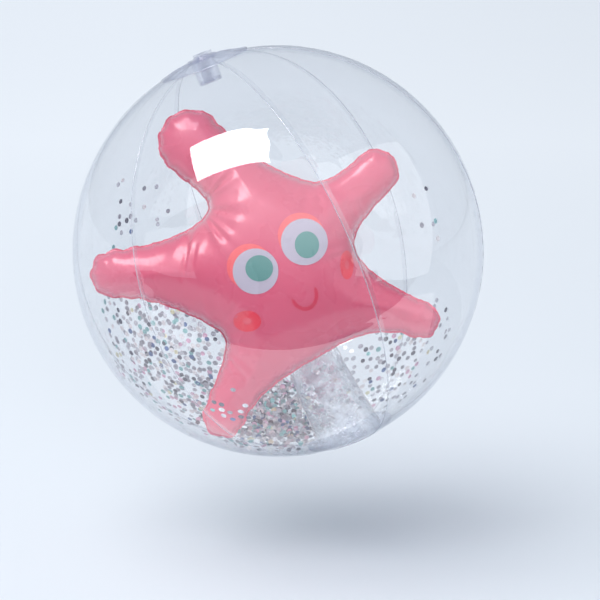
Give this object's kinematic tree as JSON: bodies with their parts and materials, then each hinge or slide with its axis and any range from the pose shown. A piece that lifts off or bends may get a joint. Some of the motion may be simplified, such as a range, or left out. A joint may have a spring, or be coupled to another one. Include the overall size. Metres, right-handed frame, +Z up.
{
  "type": "inflatable ball",
  "caption": "Clear inflatable beach ball of welded film gores with an air-filled star figure held inside on a film sleeve, push-in valves and loose glitter",
  "frame": {"origin": "centre of the ball", "axes": "+Z up with the ball hanging or resting as seen, -Y the side that the star faces, pole axis leaning 21.1 degrees from +Z towards -X and 1.8 degrees towards +Y"},
  "size_m": [0.3486, 0.3488, 0.3494],
  "materials": {
    "clear_film": "clear glossy flexible vinyl film, 0.4 mm",
    "disc_film": "clear lilac-tinted vinyl film, glossy",
    "valve_vinyl": "clear moulded soft vinyl, slightly cloudy",
    "star_vinyl": "opaque pink vinyl film with printed face, glossy",
    "sleeve_film": "frosted clear vinyl film",
    "glitter": "round metallised film flakes, 4 mm across"
  },
  "bodies": {
    "root": {"gore_1": "clear_film", "gore_2": "clear_film", "gore_3": "clear_film", "gore_4": "clear_film", "gore_5": "clear_film", "gore_6": "clear_film", "top_disc": "disc_film", "top_valve_base": "valve_vinyl", "bottom_disc": "disc_film", "bottom_valve_base": "valve_vinyl", "star_sleeve": "sleeve_film"},
    "top_stem": {"top_valve_stem": "valve_vinyl", "top_valve_strap": "valve_vinyl"},
    "top_cap": {"top_valve_cap": "valve_vinyl"},
    "top_flap": {"top_valve_flap": "valve_vinyl"},
    "bottom_stem": {"bottom_valve_stem": "valve_vinyl", "bottom_valve_strap": "valve_vinyl"},
    "bottom_cap": {"bottom_valve_cap": "valve_vinyl"},
    "bottom_flap": {"bottom_valve_flap": "valve_vinyl"},
    "star": {"star_front_skin": "star_vinyl", "star_back_skin": "star_vinyl"},
    "glitter": {"glitter_heap": "glitter"}
  },
  "joints": [
    {"name": "top_valve_push", "type": "slide", "parent": "root", "child": "top_stem", "axis": [0.3598, -0.0314, -0.9325], "range_m": [-0.01, 0]},
    {"name": "top_cap_hinge", "type": "hinge", "parent": "top_stem", "child": "top_cap", "pos_m": [-0.0553, 0.00563, 0.17054], "axis": [0.0113, 0.9995, -0.0293], "range_deg": [0, 140]},
    {"name": "top_flap_hinge", "type": "hinge", "parent": "top_stem", "child": "top_flap", "pos_m": [-0.06135, 0.00492, 0.14399], "axis": [0.0113, 0.9995, -0.0293], "range_deg": [0, 45]},
    {"name": "bottom_valve_push", "type": "slide", "parent": "root", "child": "bottom_stem", "axis": [-0.3598, 0.0314, 0.9325], "range_m": [-0.01, 0]},
    {"name": "bottom_cap_hinge", "type": "hinge", "parent": "bottom_stem", "child": "bottom_cap", "pos_m": [0.07359, -0.00563, -0.16348], "axis": [-0.0113, -0.9995, 0.0293], "range_deg": [0, 140]},
    {"name": "bottom_flap_hinge", "type": "hinge", "parent": "bottom_stem", "child": "bottom_flap", "pos_m": [0.05127, -0.00492, -0.14788], "axis": [-0.0113, -0.9995, 0.0293], "range_deg": [0, 45]},
    {"name": "star_twist", "type": "hinge", "parent": "root", "child": "star", "pos_m": [0, 0, 0], "axis": [-0.3598, 0.0314, 0.9325], "range_deg": [-12, 12], "stiffness_Nm_per_rad": 0.2, "deforming": ["star_sleeve"]},
    {"name": "glitter_drift", "type": "hinge", "parent": "root", "child": "glitter", "pos_m": [0, 0, 0], "axis": [1, 0, 0], "range_deg": [-18, 18]}
  ]
}
